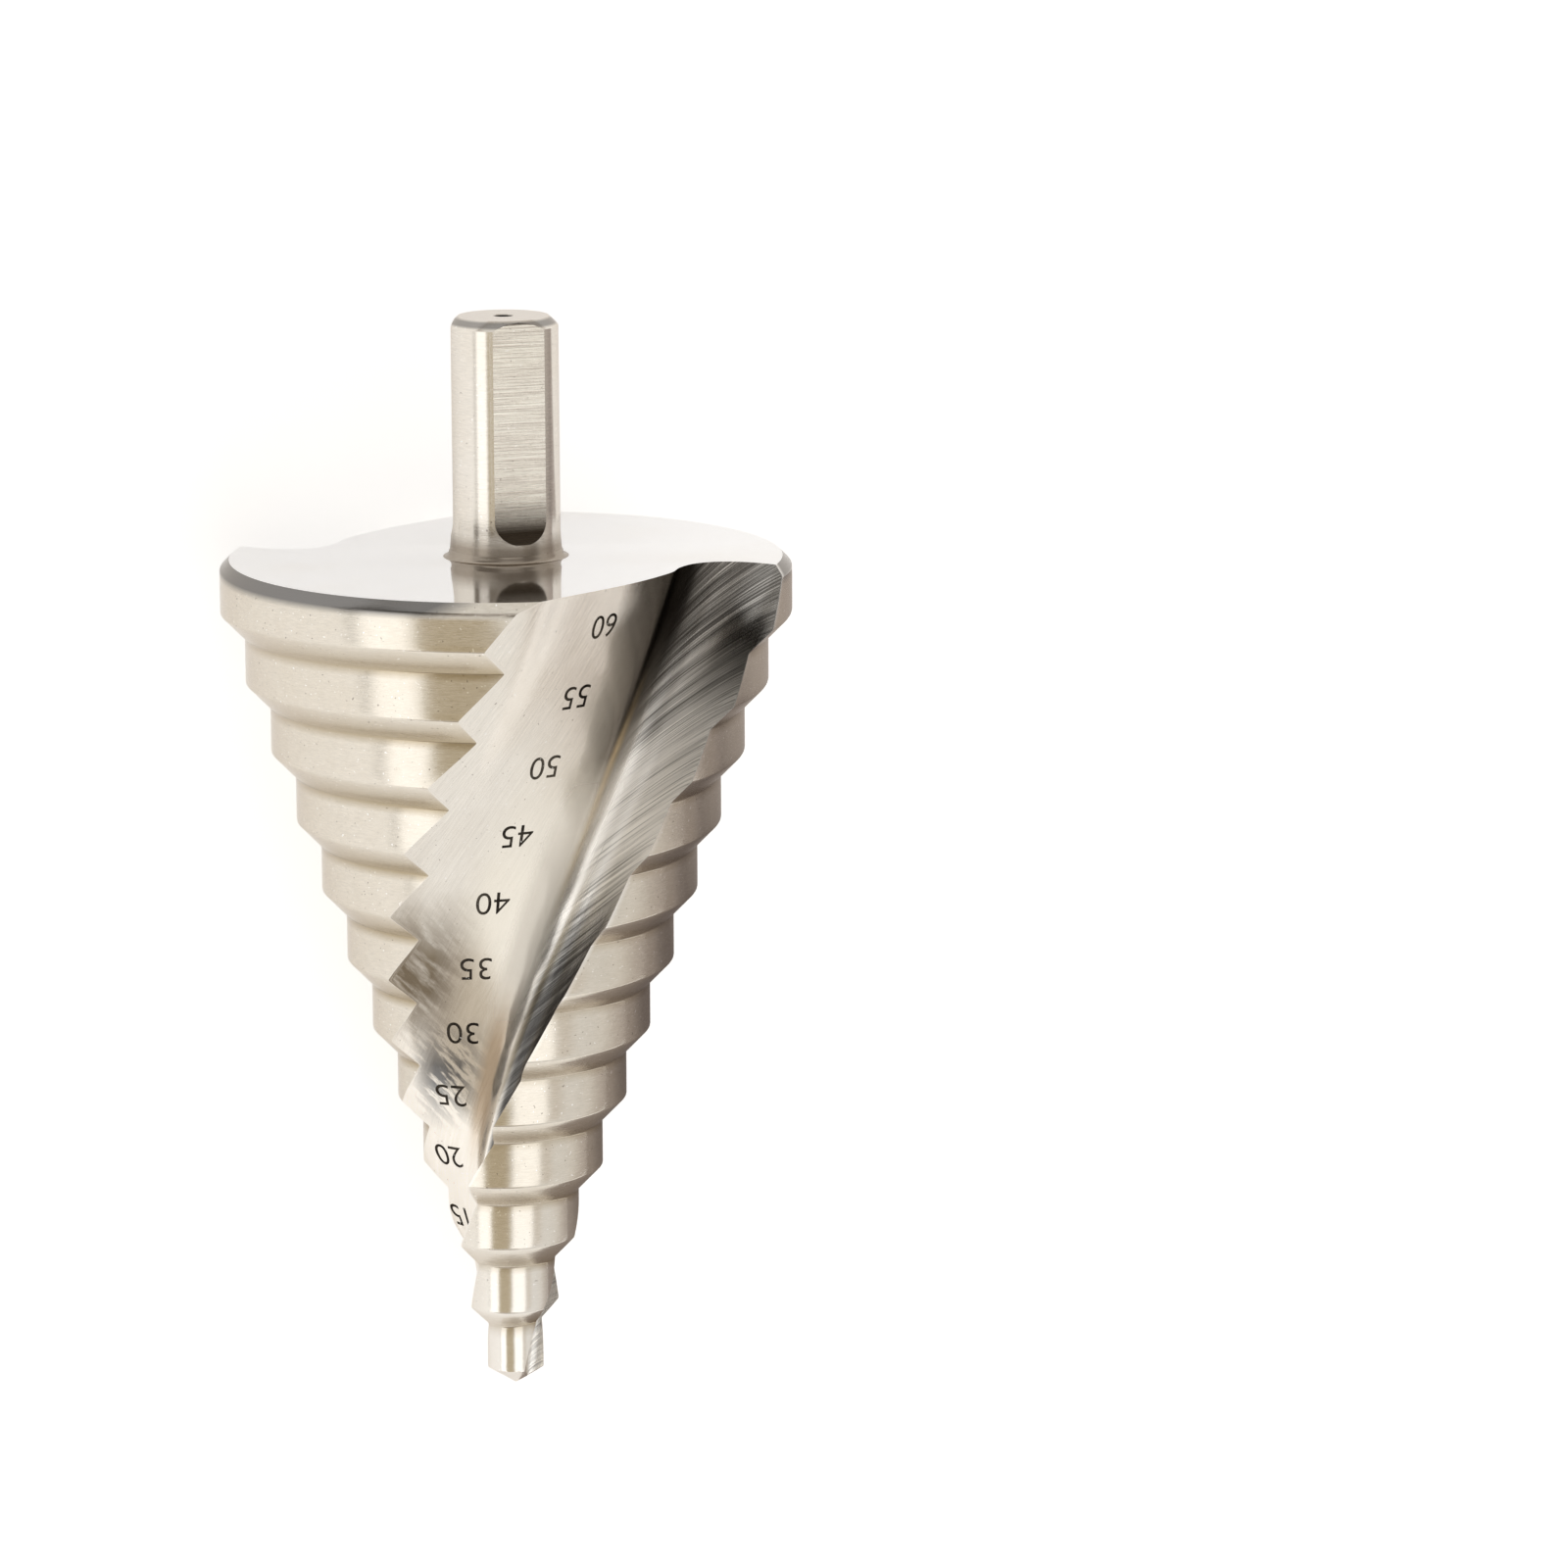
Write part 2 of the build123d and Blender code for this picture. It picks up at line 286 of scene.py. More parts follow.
# %% Rings of points
LAND_COLUMNS = 41
FLUTE_COLUMNS = 73
FLUTE_CROWDING = 1.25
POINT_ANGLE, LIP_ANGLE = 118, 4
POINT_SLOPE = 1 / math.tan(math.radians(POINT_ANGLE / 2))
LIP_TIP = math.tan(math.radians(LIP_ANGLE))


def inside_point(x, y, level):
    """Pulls points in to the drill point's cone, which is tipped up behind each lip."""
    radius, azimuth = np.hypot(x, y), np.arctan2(y, x)
    first_edge = math.radians(np.interp(0, station_levels, stations[:, 1]))
    limit = level / (POINT_SLOPE + LIP_TIP * np.abs(np.sin(azimuth - first_edge)))
    pulled = np.minimum(radius, np.maximum(limit, 0.0)) / radius
    return x * pulled, y * pulled


def half_ring(on_land, on_flute):
    """Half a ring: along a land, then the flute beyond its heel, walked back to the next cutting edge."""
    return np.concatenate([on_land, on_flute[:, -2:0:-1]], axis=1)


land_share = np.linspace(0, 1, LAND_COLUMNS)
land_azimuth = edge_azimuth[:, None] + (heel_azimuth + math.pi - edge_azimuth)[:, None] * land_share
land_corners = corners(land_azimuth)
land_radii, land_levels = np.moveaxis(np.einsum("rk,krcx->rcx", row_blend, land_corners), -1, 0)
land_x, land_y = land_radii * np.cos(land_azimuth), land_radii * np.sin(land_azimuth)

flute_share = np.linspace(0, 1, FLUTE_COLUMNS)
crowded = flute_share ** FLUTE_CROWDING
flute_runs = edge_run[:, None] + (heel_run - edge_run)[:, None] * crowded
flute_levels = edge_level[:, None] + (heel_level - edge_level)[:, None] * crowded
flute_x, flute_y = flute_point(flute_levels, flute_runs)

# The flute beyond a heel is the other one, half a turn round. The drill's other half is the same ring turned.
ring_z = half_ring(land_levels, flute_levels)
ring_x, ring_y = inside_point(half_ring(land_x, -flute_x), half_ring(land_y, -flute_y), ring_z)
body_x = np.concatenate([ring_x, -ring_x], axis=1)
body_y = np.concatenate([ring_y, -ring_y], axis=1)
body_z = np.concatenate([ring_z, ring_z], axis=1)
print("body skin:", body_x.shape, "points")

# %% [markdown]
# Each point also carries what its finish needs. First, how far it is along and across its own surface in
# millimetres, so that grinding marks can follow the metal. On the rake face the cutter left marks that start
# steep in the valley and lie flatter towards the edge, so their own coordinate is the level plus a curve of
# the run across the face. The drill's two halves take their marks from places far apart, so they differ.

# %% How the marks run
HALVES_APART = 200.0
FLUTE_TOP_RADIUS = 31.0
MARK_SLANT, MARK_CURVE = 0.5, 1.1
flute_scale = np.interp(flute_levels, [0, BODY_HEIGHT], [PILOT_RADIUS, FLUTE_TOP_RADIUS])
run_in = flute_runs - section_run[2]
half_across = half_ring((land_azimuth - edge_azimuth[:, None]) * land_radii, run_in * flute_scale)
body_across = np.concatenate([half_across, half_across + HALVES_APART], axis=1)
rake_marks = flute_levels + flute_scale * (MARK_SLANT * run_in + MARK_CURVE * run_in**2)
half_marks = half_ring(land_levels, rake_marks)
body_marks = np.concatenate([half_marks, half_marks + HALVES_APART], axis=1)
half_run = half_ring(0 * land_levels, flute_runs)
half_run[:, [0, LAND_COLUMNS - 1]] = flute_runs[:, [0, -1]]
body_run = np.tile(half_run, (1, 2))
print("marks run from", half_marks.min().round(1), "to", half_marks.max().round(1), "mm")

# %% [markdown]
# Then, how near a point is to a step's inner corner, where a painted brown shade is deepest towards the heel;
# whether it is on the rim's chamfer, which carries a painted dark reflection; and how near it is to an edge,
# where a bright line is painted: rubbed wear with a painted highlight. A cutting edge gets more than a heel.

# %% Painted shade of inner corners and chamfer, and rubbed, highlighted edges
SHADED_SHARE = 0.16
LEAST_BROWN = 0.45
CHAMFER_END, CHAMFER_FADE = 0.90, 0.07
RUB_AND_HIGHLIGHT_WIDTH, HEEL_RUB_AND_HIGHLIGHT = 0.10, 0.45
# The share of painted brown shade near each inner corner, greater towards the heel.
segment, share_of = np.divmod(row_spot, 1)
below_rim = segment < 2 * STEP_COUNT
up_shoulder = np.where((segment % 2 == 1) & below_rim, 1 - share_of, 0)
near_top = np.clip(1 - (1 - share_of) / SHADED_SHARE, 0, 1)
down_land = np.where((segment % 2 == 0) & below_rim, near_top, 0)
no_flute = np.zeros(FLUTE_COLUMNS - 2)
browner = LEAST_BROWN + (1 - LEAST_BROWN) * np.clip(land_share / 0.75 - 0.2, 0, 1)
body_corner_shade = np.maximum(up_shoulder, down_land)[:, None] * np.tile(np.concatenate([browner, no_flute]), 2)

# The chamfer's painted dark reflection, fading out near each land's heel.
dark_round = np.concatenate([np.clip((CHAMFER_END - land_share) / CHAMFER_FADE, 0, 1), no_flute])
on_chamfer = np.clip((row_spot - corner_count + 2.2) / 0.2, 0, 1)
body_chamfer_reflection = on_chamfer[:, None] * np.tile(dark_round, 2)

# A bright line along each edge, rubbed wear with a painted highlight, fainter at a heel.
land_width = (land_azimuth[:, -1:] - land_azimuth[:, :1]) * land_radii
flute_in = np.minimum(flute_runs - flute_runs[:, :1], flute_runs[:, -1:] - flute_runs)
to_edge = half_ring(np.minimum(land_share, 1 - land_share) * land_width, flute_in * flute_scale)
near_heel = np.concatenate([land_share > 0.5, (flute_share > 0.5)[-2:0:-1]])
body_rub_and_highlight = np.tile(np.exp(-to_edge / RUB_AND_HIGHLIGHT_WIDTH) * np.where(near_heel, HEEL_RUB_AND_HIGHLIGHT, 1.0), (1, 2))
print("points on the chamfer:", int((body_chamfer_reflection > 0).sum()))

# %% [markdown]
# ## Faces
# A grid of rows and columns becomes quads with a little index arithmetic. The body's grid closes on itself
# around the drill, and so does the shank's.


# %% A closed grid as a mesh
def wrapped_quads(row_count, column_count):
    """Quads between neighbouring rows and columns, the last column joined to the first, facing outwards."""
    low = np.arange(row_count - 1)[:, None] * column_count
    here = np.arange(column_count)[None, :]
    beyond = (here + 1) % column_count
    high = low + column_count
    return np.stack([low + here, low + beyond, high + beyond, high + here], axis=-1).reshape(-1, 4)


def new_object(name, data):
    """An object that carries some data, linked into the scene."""
    made = bpy.data.objects.new(name, data)
    bpy.context.collection.objects.link(made)
    return made


def new_piece(name, points, faces, values=None):
    """A mesh object at the origin, in metres where the drill lies, with an attribute for each value."""
    mesh = bpy.data.meshes.new(name)
    mesh.from_pydata(place(points).tolist(), [], [list(map(int, face)) for face in faces])
    for key, data in (values or {}).items():
        kind = "FLOAT_VECTOR" if data.ndim == 2 else "FLOAT"
        store = mesh.attributes.new(key, kind, "POINT")
        store.data.foreach_set("vector" if data.ndim == 2 else "value", data.astype(np.float32).ravel())
    return new_object(name, mesh)


# %% [markdown]
# ## The shank
# A round bar, flared and rounded where it leaves the body, with three flats ground into it. The grinding
# wheel's round leaves a curved run-out at the foot of each flat. The ring of points is shared out between
# flat and round, so the edges of the flats are exact.

# %% The shank's ring of points
SHANK_RADIUS = 5.75
ROOT_RADIUS = 6.0
ROOT_FILLET = 0.6
FLARE_LENGTH = 3.2
FLAT_DISTANCE = 5.02
FLAT_GAP = 1.6
RUNOUT_RADIUS = 4.3
END_RADIUS = 4.75
END_ROUND = 1.0
CENTRE_RADIUS = 1.0
CENTRE_DEPTH = 3.0
FLAT_COLUMNS, ROUND_COLUMNS = 9, 17
NO_FLAT = 0.004
total_height = BODY_HEIGHT + SHANK_LENGTH

# The shank's profile, as a radius at each level: close rows up to the end of the flats' run-outs, wide ones
# above, then the end's round, its face and the centre hole.
quarter = np.linspace(0, math.pi / 2, 7)
root_r = ROOT_RADIUS + ROOT_FILLET * (1 - np.sin(quarter))
root_z = BODY_HEIGHT + ROOT_FILLET * (1 - np.cos(quarter))
bar_z = np.concatenate([np.linspace(BODY_HEIGHT + 0.75, BODY_HEIGHT + 4.7, 40),
                        np.linspace(BODY_HEIGHT + 5.0, total_height - END_ROUND, 24)])
flared = np.clip(1 - (bar_z - BODY_HEIGHT) / FLARE_LENGTH, 0, 1) ** 2
bar_r = SHANK_RADIUS + (ROOT_RADIUS - SHANK_RADIUS) * flared
ball_low = (SHANK_RADIUS**2 - END_RADIUS**2 - END_ROUND**2) / (2 * END_ROUND)
ball = math.hypot(SHANK_RADIUS, ball_low)
end_z = np.linspace(0, END_ROUND, 7)[1:]
end_r = np.sqrt(ball**2 - (ball_low + end_z) ** 2)
face_r = np.array([4.6, 3.6, 2.4, 1.3, 1.12, *[CENTRE_RADIUS] * 3, 0.5, 0.0])
face_z = np.array([0, 0, 0, 0, 0, -0.12, -1.5, -CENTRE_DEPTH, -CENTRE_DEPTH, -CENTRE_DEPTH]) + total_height
shank_r = np.concatenate([root_r, bar_r, end_r, face_r])
shank_z = np.concatenate([root_z, bar_z, total_height - END_ROUND + end_z, face_z])

# A flat's distance from the axis, and half the angle that it takes of the round: the angle whose cosine is
# that distance over the radius. Where there is no flat, its columns close up to a sliver.
rise = math.sqrt(RUNOUT_RADIUS**2 - (RUNOUT_RADIUS - ROOT_RADIUS + FLAT_DISTANCE) ** 2)
below = np.clip(BODY_HEIGHT + FLAT_GAP + rise - shank_z, 0, RUNOUT_RADIUS)
flat_away = FLAT_DISTANCE + RUNOUT_RADIUS - np.sqrt(RUNOUT_RADIUS**2 - below**2)
half_flat = np.arccos(np.clip(flat_away / np.maximum(shank_r, 1e-6), -1, math.cos(NO_FLAT)))
flat_part = np.linspace(-1, 1, FLAT_COLUMNS)[None, :] * half_flat[:, None]
round_width = (2 * math.pi / 3 - 2 * half_flat)[:, None]
round_part = half_flat[:, None] + np.linspace(0, 1, ROUND_COLUMNS)[None, 1:-1] * round_width
third = np.concatenate([flat_part, round_part], axis=1)
shank_turn = np.concatenate([third + 2 * math.pi / 3 * i for i in range(3)], axis=1)
third_reach = np.concatenate([np.minimum(shank_r[:, None], flat_away[:, None] / np.cos(flat_part)),
                              shank_r[:, None] + 0 * round_part], axis=1)
shank_reach = np.tile(third_reach, (1, 3))
shank_azimuth = shank_turn + math.radians(FLAT_AZIMUTH)
shank_points = np.stack([shank_reach * np.cos(shank_azimuth), shank_reach * np.sin(shank_azimuth),
                         shank_z[:, None] + 0 * shank_reach], axis=-1).reshape(-1, 3)
is_flat = np.tile(np.concatenate([np.ones(FLAT_COLUMNS), np.zeros(ROUND_COLUMNS - 2)]), 3)
shank_flat = (is_flat[None, :] * (half_flat > 0.01)[:, None]).reshape(-1)
shank_flow = np.stack([(shank_turn * shank_r[:, None]).reshape(-1), np.repeat(shank_z, shank_turn.shape[1]),
                       shank_reach.reshape(-1)], axis=-1)
print("shank:", shank_turn.shape, "points")

# %% [markdown]
# ## One closed skin
# The drill is one bar, so its skin is one closed mesh. The flat rim face joins body and shank: it is a
# polygon with a hole, which Blender fills from its two outlines in one call. The rows that shrink to a point,
# at the tip and in the centre hole, are merged there. Each face is told its kind, which picks its finish.

# %% Join body, rim face and shank
LAND, FLUTE, SHANK, FLAT, RIM = range(5)
SHARP_ANGLE = 28
body_points = np.stack([body_x, body_y, body_z], axis=-1).reshape(-1, 3)
body_flow = np.stack([body_across.ravel(), body_z.ravel(), np.hypot(body_x, body_y).ravel()], axis=-1)
body_count, ring_count, shank_count = len(body_points), body_x.shape[1], shank_turn.shape[1]
outline = np.arange(body_count - ring_count, body_count)
hole = np.arange(body_count, body_count + shank_count)[::-1]
skin_points = np.concatenate([body_points, shank_points])
rings = [[Vector(p) for p in skin_points[ring].tolist()] for ring in (outline, hole)]
rim_faces = np.concatenate([outline, hole])[np.array(tessellate_polygon(rings))]
first, second, third_corner = (skin_points[rim_faces[:, i]] for i in range(3))
facing_down = np.cross(second - first, third_corner - first)[:, 2] < 0
rim_faces[facing_down] = rim_faces[facing_down, ::-1]
body_faces = wrapped_quads(*body_x.shape)
shank_faces = wrapped_quads(*shank_turn.shape) + body_count

values = {"flow": np.concatenate([body_flow, shank_flow])}
for key, on_body in (("marks", body_marks), ("run", body_run), ("chamfer", body_chamfer_reflection),
                     ("painted_corner_shade", body_corner_shade), ("rub_and_highlight", body_rub_and_highlight)):
    values[key] = np.concatenate([on_body.ravel(), np.zeros(len(shank_points))])
skin = new_piece("drill_skin", skin_points, [*body_faces, *shank_faces, *rim_faces], values)
column = np.arange(len(body_faces)) % ring_count % (ring_count // 2)
body_kind = np.where(column >= LAND_COLUMNS - 1, FLUTE, LAND)
on_flat = shank_flat[shank_faces - body_count].min(axis=1) > 0.5
shank_kind = np.where(on_flat, FLAT, SHANK)
kinds = np.concatenate([body_kind, shank_kind, np.full(len(rim_faces), RIM)]).astype(np.int32)
skin.data.polygons.foreach_set("material_index", kinds)
skin.data.polygons.foreach_set("use_smooth", kinds != RIM)
sheet = bmesh.new()
sheet.from_mesh(skin.data)
bmesh.ops.remove_doubles(sheet, verts=sheet.verts, dist=1e-7)
print("open edges:", sum(not edge.is_manifold for edge in sheet.edges))
print("volume:", round(sheet.calc_volume() * 1e9), "mm3")
sheet.to_mesh(skin.data)
sheet.free()
skin.data.set_sharp_from_angle(angle=math.radians(SHARP_ANGLE))
print("skin:", len(skin.data.polygons), "faces")

# %% [markdown]
# ## The size marks
# A size is marked beside each step on the flute's wide face, so that the hole's size can be read while
# drilling. They are read with the point up. Each number is written as text, made a mesh, and bent onto the
# wall: its own right and up are laid along the wall, so it is neither stretched nor mirrored. Which way they
# lie is found by nudging the run and the level a little, and seeing how far the point of the wall moves.

# %% Numbers on the wide face
MARK_HEIGHT = 2.6
MARK_LIFT = 0.03
MARK_THICKNESS, MARK_THINNING = 0.02, -0.008
FIRST_MARK_LEVEL = 11.2
MARK_RUN, LOW_MARK_DRIFT = 1.333, 0.045
NUDGE = 0.001
mark_points, mark_faces = [], []
for step in range(2, STEP_COUNT + 1):
    writing = bpy.data.curves.new("writing", "FONT")
    writing.body = str(10 + 5 * (step - 1))
    writing.align_x, writing.align_y = "CENTER", "CENTER"
    writing.extrude, writing.offset = MARK_THICKNESS, MARK_THINNING
    carrier = bpy.data.objects.new("carrier", writing)
    flat_text = bpy.data.meshes.new_from_object(carrier)
    sheet = bmesh.new()
    sheet.from_mesh(flat_text)
    bmesh.ops.remove_doubles(sheet, verts=sheet.verts, dist=1e-5)
    corner_list = np.array([vertex.co for vertex in sheet.verts])
    face_list = [[vertex.index for vertex in face.verts] for face in sheet.faces]
    sheet.free()
    bpy.data.objects.remove(carrier)
    bpy.data.curves.remove(writing)
    bpy.data.meshes.remove(flat_text)
    size = MARK_HEIGHT / np.ptp(corner_list[:, 1])
    rightwards, upwards = corner_list[:, 0] * size, corner_list[:, 1] * size
    lift = np.where(corner_list[:, 2] > 0, MARK_LIFT, -MARK_LIFT)
    level = FIRST_MARK_LEVEL + STEP_PITCH * (step - 1)
    run = MARK_RUN + LOW_MARK_DRIFT * max(0, 5 - step)
    spot, by_run, by_level = (np.array([*flute_point(np.array(level + a), np.array(run + b)), level + a])
                              for a, b in ((0, 0), (0, NUDGE), (NUDGE, 0)))
    by_run, by_level = (by_run - spot) / NUDGE, (by_level - spot) / NUDGE
    run_length = np.linalg.norm(by_run)
    slant = by_level @ by_run / run_length
    climb = np.linalg.norm(by_level - slant * by_run / run_length)
    levels = level - upwards / climb
    runs = run + (rightwards + upwards * slant / climb) / run_length
    x, y = flute_point(levels, runs)
    out_of = np.cross(by_level, by_run)
    out_of *= math.copysign(1, out_of @ [spot[0], spot[1], 0]) / np.linalg.norm(out_of)
    first_index = sum(map(len, mark_points))
    mark_faces.extend([[first_index + index for index in face] for face in face_list])
    mark_points.append(np.stack([x, y, levels], axis=-1) + lift[:, None] * out_of)
size_marks = new_piece("size_marks", np.concatenate(mark_points), mark_faces)
print("size marks:", len(mark_points), "numbers,", len(mark_faces), "faces")

# %% [markdown]
# ## Ground steel
# The whole drill is one steel, so one function makes its finish, and each surface only changes how bright,
# how rough and how strongly marked it is. The nodes could be wired by hand in the shader editor. Here a few
# small helpers add and link them, so that a finish can be read from top to bottom like a sum.

# %% Small helpers for nodes
def empty_material(name):
    """A material with an empty tree of nodes."""
    material = bpy.data.materials.new(name)
    material.use_nodes = True
    material.node_tree.nodes.clear()
    return material


def add_node(tree, kind, settings=None, **inputs):
    """Adds a node, makes its settings and fills its inputs, which are told by name, or by place as i0, i1 and
    so on. A number or a colour is set on the socket, and a socket is linked to it."""
    node = tree.nodes.new(kind)
    for key, value in (settings or {}).items():
        setattr(node, key, value)
    for key, value in inputs.items():
        socket = node.inputs[int(key[1:]) if key[1:].isdigit() else key.replace("_", " ")]
        if isinstance(value, bpy.types.NodeSocket):
            tree.links.new(value, socket)
        else:
            socket.default_value = value
    return node


def maths(tree, operation, first, second=0.0, third=0.0):
    """One arithmetic step on sockets or numbers."""
    node = add_node(tree, "ShaderNodeMath", {"operation": operation}, i0=first, i1=second, i2=third)
    return node.outputs[0]


def times(tree, first, second):
    """One share times another, so that the result holds only where both do."""
    return maths(tree, "MULTIPLY", first, second)


def spread(tree, value, low, high, out_low=0.0, out_high=1.0):
    """A value stretched from one range to another and held inside it."""
    node = add_node(tree, "ShaderNodeMapRange", i0=value, i1=low, i2=high, i3=out_low, i4=out_high)
    return node.outputs[0]


def between(tree, value, low, high, soft):
    """1 where a value lies between two limits and 0 beyond them, with soft edges."""
    rise = spread(tree, value, low - soft, low + soft)
    return times(tree, rise, spread(tree, value, high - soft, high + soft, 1.0, 0.0))


def mixed(tree, share, first, second):
    """The first colour, turned towards the second by a share."""
    return add_node(tree, "ShaderNodeMix", {"data_type": "RGBA"}, i0=share, i6=first, i7=second).outputs[2]


def tinted(tree, base, share, strength, colour):
    """A base turned towards a colour, by that colour's share there times its strength."""
    return mixed(tree, times(tree, share, strength), base, colour)


def attribute(tree, name, output="Fac"):
    """A value or a vector that the skin carries at its points."""
    return add_node(tree, "ShaderNodeAttribute", {"attribute_name": name}).outputs[output]


def parts(tree, vector):
    """The three parts of a vector."""
    return add_node(tree, "ShaderNodeSeparateXYZ", Vector=vector).outputs


def noise(tree, vector, scale, detail=3.0, roughness=0.5):
    """Noise between 0 and 1."""
    node = add_node(tree, "ShaderNodeTexNoise", Vector=vector, Scale=scale, Detail=detail, Roughness=roughness)
    return node.outputs[0]


# %% [markdown]
# The marks are noise stretched along the way that the wheel ran: around the drill on the steps and the shank,
# along the flutes, in rings on the rim face. A finish mixes them with a faint cloud, a finer mottle, dark and
# pale specks like grains of dust, and a bright line along the edges, which is rubbed wear with a painted
# highlight. The marks also change the slope a little, so that a highlight breaks up across them as it does on
# ground metal.

# %% A steel finish with marks that run one way
STEEL = (0.70, 0.655, 0.58)
EDGE_TINT = (0.80, 0.77, 0.74, 1)
TAN_CLOUD = (0.62, 0.55, 0.44, 1)
BROWN_MOTTLE = (0.50, 0.44, 0.35, 1)
DARK_SPECK = (0.16, 0.13, 0.11, 1)
PALE_SPECK = (0.96, 0.95, 0.93, 1)
RUBBED_EDGE_AND_HIGHLIGHT = (0.93, 0.92, 0.90, 1)
CLOUD_SCALE, MOTTLE_SCALE, GRAIN_SCALE = 90.0, 900.0, 3000.0


def steel(name, marks, colour=STEEL, roughness=0.17, depth=0.004, streak=0.05, pits=0.6, mottled=0.12,
          edge=EDGE_TINT, shade=None):
    """Satin steel. `marks` is how many marks there are to a millimetre across, along and out from the axis,
    and `depth` is how deep they are in millimetres. `shade` adds a surface's own colours and its painted
    light and shade."""
    material = empty_material(name)
    tree = material.node_tree
    flow = attribute(tree, "flow", "Vector")
    fine = noise(tree, add_node(tree, "ShaderNodeMapping", Vector=flow, Scale=marks).outputs[0], 1.0, 5.0, 0.6)
    where = add_node(tree, "ShaderNodeTexCoord").outputs["Object"]
    cloud = noise(tree, where, CLOUD_SCALE)
    grains = noise(tree, where, GRAIN_SCALE, 1.0)
    mottle = noise(tree, where, MOTTLE_SCALE, 4.0, 0.65)
    dark = tuple(channel * (1 - 2 * streak) for channel in colour)
    light = tuple(min(channel * (1 + streak), 1.0) for channel in colour)
    base = mixed(tree, spread(tree, fine, 0.3, 0.7), (*dark, 1), (*light, 1))
    base = mixed(tree, spread(tree, cloud, 0.5, 0.8, 0.0, 0.25), base, TAN_CLOUD)
    base = mixed(tree, spread(tree, mottle, 0.42, 0.68, 0.0, mottled), base, BROWN_MOTTLE)
    base = mixed(tree, spread(tree, grains, 0.735, 0.785, 0.0, pits), base, DARK_SPECK)
    base = mixed(tree, spread(tree, grains, 0.29, 0.24, 0.0, pits), base, PALE_SPECK)
    rough = spread(tree, fine, 0.3, 0.7, roughness * 0.85, roughness * 1.2)
    height = maths(tree, "MULTIPLY_ADD", mottle, 0.6, fine)
    metal = 1.0
    if shade:
        base, rough, height, metal = shade(tree, base, rough, height)
    # The bright line along the edges: rubbed wear with a painted highlight.
    uneven = spread(tree, cloud, 0.35, 0.65, 0.1, 0.8)
    rub_and_highlight_share = times(tree, spread(tree, attribute(tree, "rub_and_highlight"), 0.3, 1.0), uneven)
    base = mixed(tree, rub_and_highlight_share, base, RUBBED_EDGE_AND_HIGHLIGHT)
    bump = add_node(tree, "ShaderNodeBump", Strength=1.0, Distance=depth / 1000, Height=height)
    shader = add_node(tree, "ShaderNodeBsdfPrincipled", Base_Color=base, Metallic=metal, Roughness=rough,
                      Specular_Tint=edge, Normal=bump.outputs[0])
    add_node(tree, "ShaderNodeOutputMaterial", Surface=shader.outputs[0])
    return material


# %% [markdown]
# ## Colours and painted light of each surface
# Each surface has colours of its own, and much of its light and shade is painted into its colour. These
# could be painted on an image. But each follows the drill's own form, so each is a share worked out from what
# the points know. The lands are paler on the smallest steps, a brown shade is painted towards each inner
# corner, and the chamfer turned round the rim is painted darker than the ground faces, as a dark reflection.

# %% Shade of the lands
PALE_STEPS = (0.83, 0.81, 0.78, 1)
# Colours of the painted shade in each inner corner, and of the painted dark reflection on the chamfer.
CORNER_SHADE_BROWN = (0.34, 0.265, 0.15, 1)
CHAMFER_DARK_REFLECTION = (0.20, 0.195, 0.19, 1)


def land_shade(tree, base, rough, height):
    """The paler smallest steps, a painted brown shade in each inner corner, and a painted dark reflection on
    the chamfer round the rim. The drill's levels are in millimetres here and below."""
    level = parts(tree, attribute(tree, "flow", "Vector"))[1]
    base = mixed(tree, spread(tree, level, 26, 6, 0.0, 0.6), base, PALE_STEPS)
    # Painted brown shade towards each inner corner, then the painted dark reflection on the chamfer.
    near = spread(tree, attribute(tree, "painted_corner_shade"), 0.0, 1.0, 0.0, 0.8)
    base = mixed(tree, near, base, CORNER_SHADE_BROWN)
    return mixed(tree, attribute(tree, "chamfer"), base, CHAMFER_DARK_REFLECTION), rough, height, 1.0


# %% [markdown]
# The rake face is the hooked side of a flute, from its cutting edge down to the valley. The cutter left
# slanting marks on it: broad bands, scores and fine dark scratches, and bright glints are painted on some
# scratches. Its light and shade are painted: it is painted lightest in its upper half, where it turns to the
# light, and on the smallest steps, with a painted highlight on a ridge beside the valley. Lower down it is
# painted in shade beside the valley, and so is its crown near the rim.

# %% The rake face
# Colours of the rake's painted shade and light, of its dark scratches, and of painted shade low down and at its
# crown.
RAKE_SHADED = (0.075, 0.07, 0.065, 1)
RAKE_LIT = (0.97, 0.95, 0.91, 1)
DARK_SCRATCH = (0.05, 0.045, 0.04, 1)
LOW_SHADE = (0.06, 0.058, 0.056, 1)
CROWN_SHADE = (0.07, 0.066, 0.06, 1)


def cut_marks(tree, across, per_mm, drawn_out, detail, roughness):
    """Noise along the rake face's own marks: so many to a millimetre, and drawn out across the face."""
    marks = times(tree, attribute(tree, "marks"), per_mm)
    lines = add_node(tree, "ShaderNodeCombineXYZ", X=marks, Y=times(tree, across, drawn_out))
    return noise(tree, lines.outputs[0], 1.0, detail, roughness)


